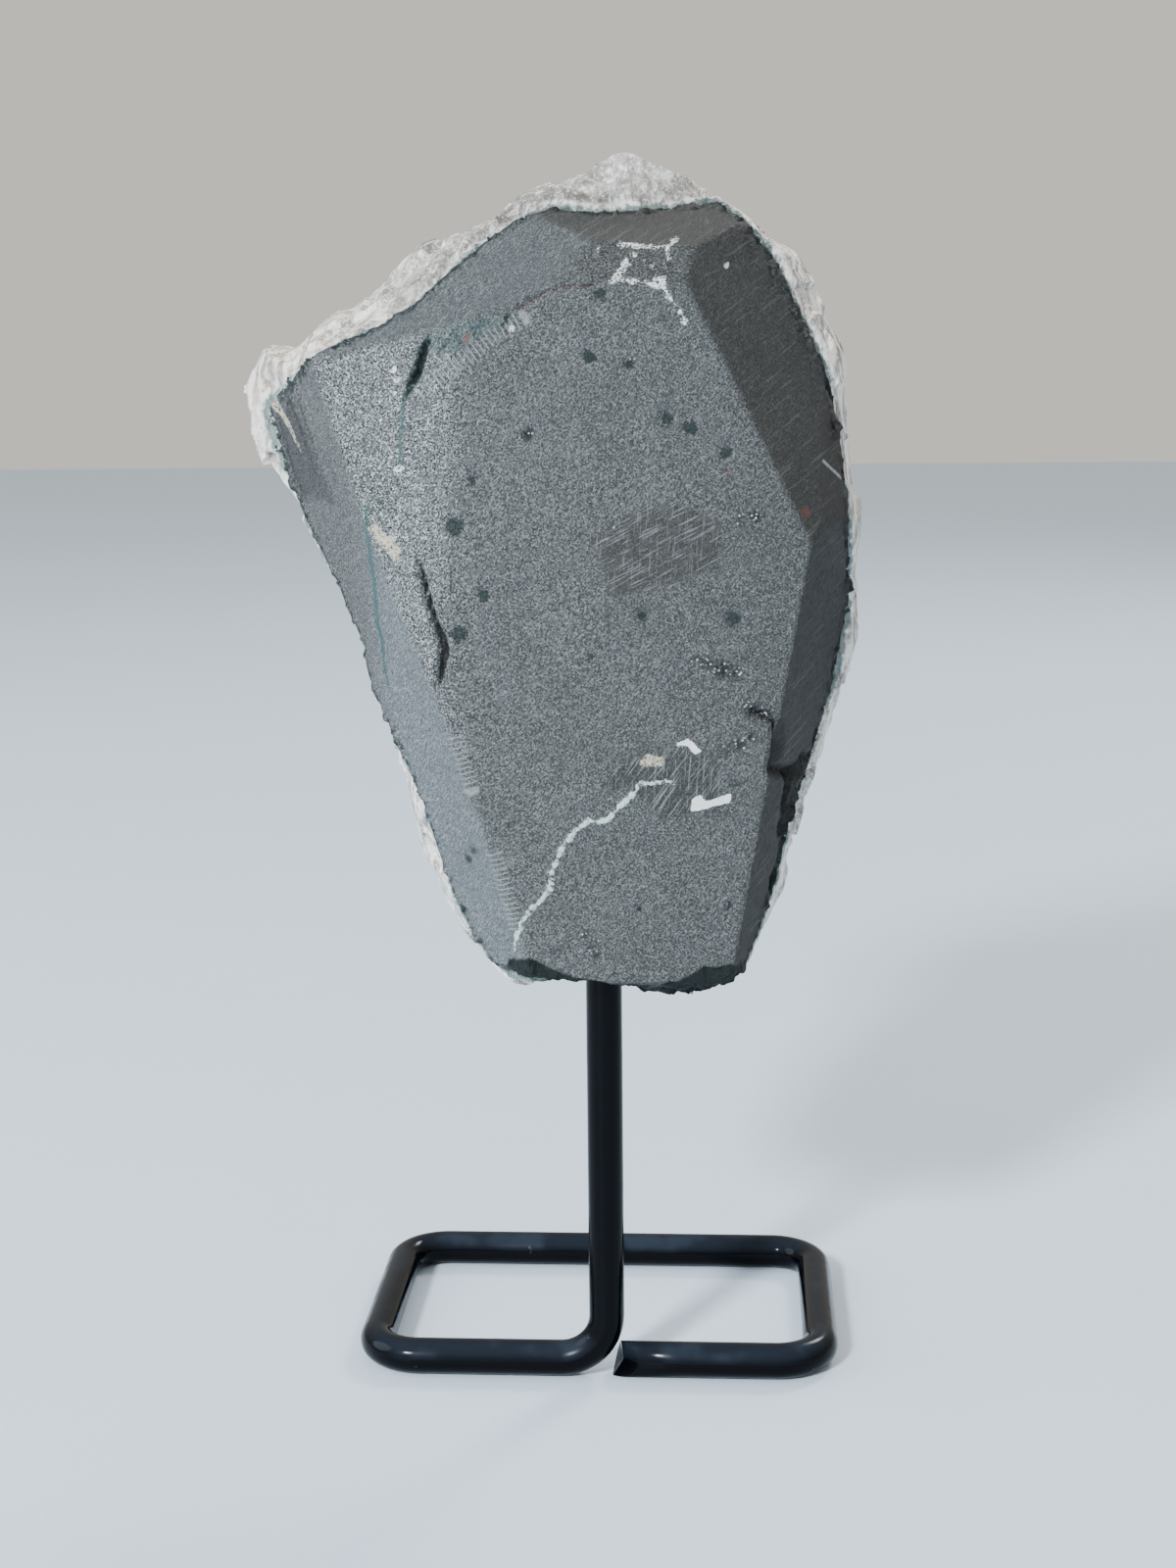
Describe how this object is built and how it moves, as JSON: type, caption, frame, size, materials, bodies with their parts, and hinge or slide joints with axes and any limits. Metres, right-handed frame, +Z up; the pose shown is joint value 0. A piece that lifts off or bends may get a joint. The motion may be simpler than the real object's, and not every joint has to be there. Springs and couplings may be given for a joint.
{
  "type": "apophyllite mineral specimen on stand",
  "caption": "Slab of basalt with a white crystal crust and clear apophyllite crystals, glued upright on a post that is bent from one rod with its loop foot.",
  "frame": {"origin": "bottom centre of the bounding box, on the surface that the rod loop stands on", "axes": "+Z up along the post, +Y towards the crystal side, -Y towards the sawn back, +X to the right seen from the sawn back"},
  "size_m": [0.1028, 0.0618, 0.2046],
  "materials": {
    "black_rod": "gloss black paint, worn at the bends",
    "basalt": "sawn and ground matt, speckled",
    "crust": "broken, sugary, slightly translucent",
    "clear_crystal": "clear, glassy faces"
  },
  "bodies": {
    "root": {"stand_rod": "black_rod", "basalt_matrix": "basalt", "zeolite_crust": "crust", "apophyllite_main_cluster": "clear_crystal", "apophyllite_upper_cluster": "clear_crystal", "apophyllite_top_cluster": "clear_crystal", "apophyllite_tip_cluster": "clear_crystal", "apophyllite_right_cluster": "clear_crystal", "apophyllite_left_cluster": "clear_crystal", "apophyllite_foot_cluster": "clear_crystal"}
  },
  "joints": []
}
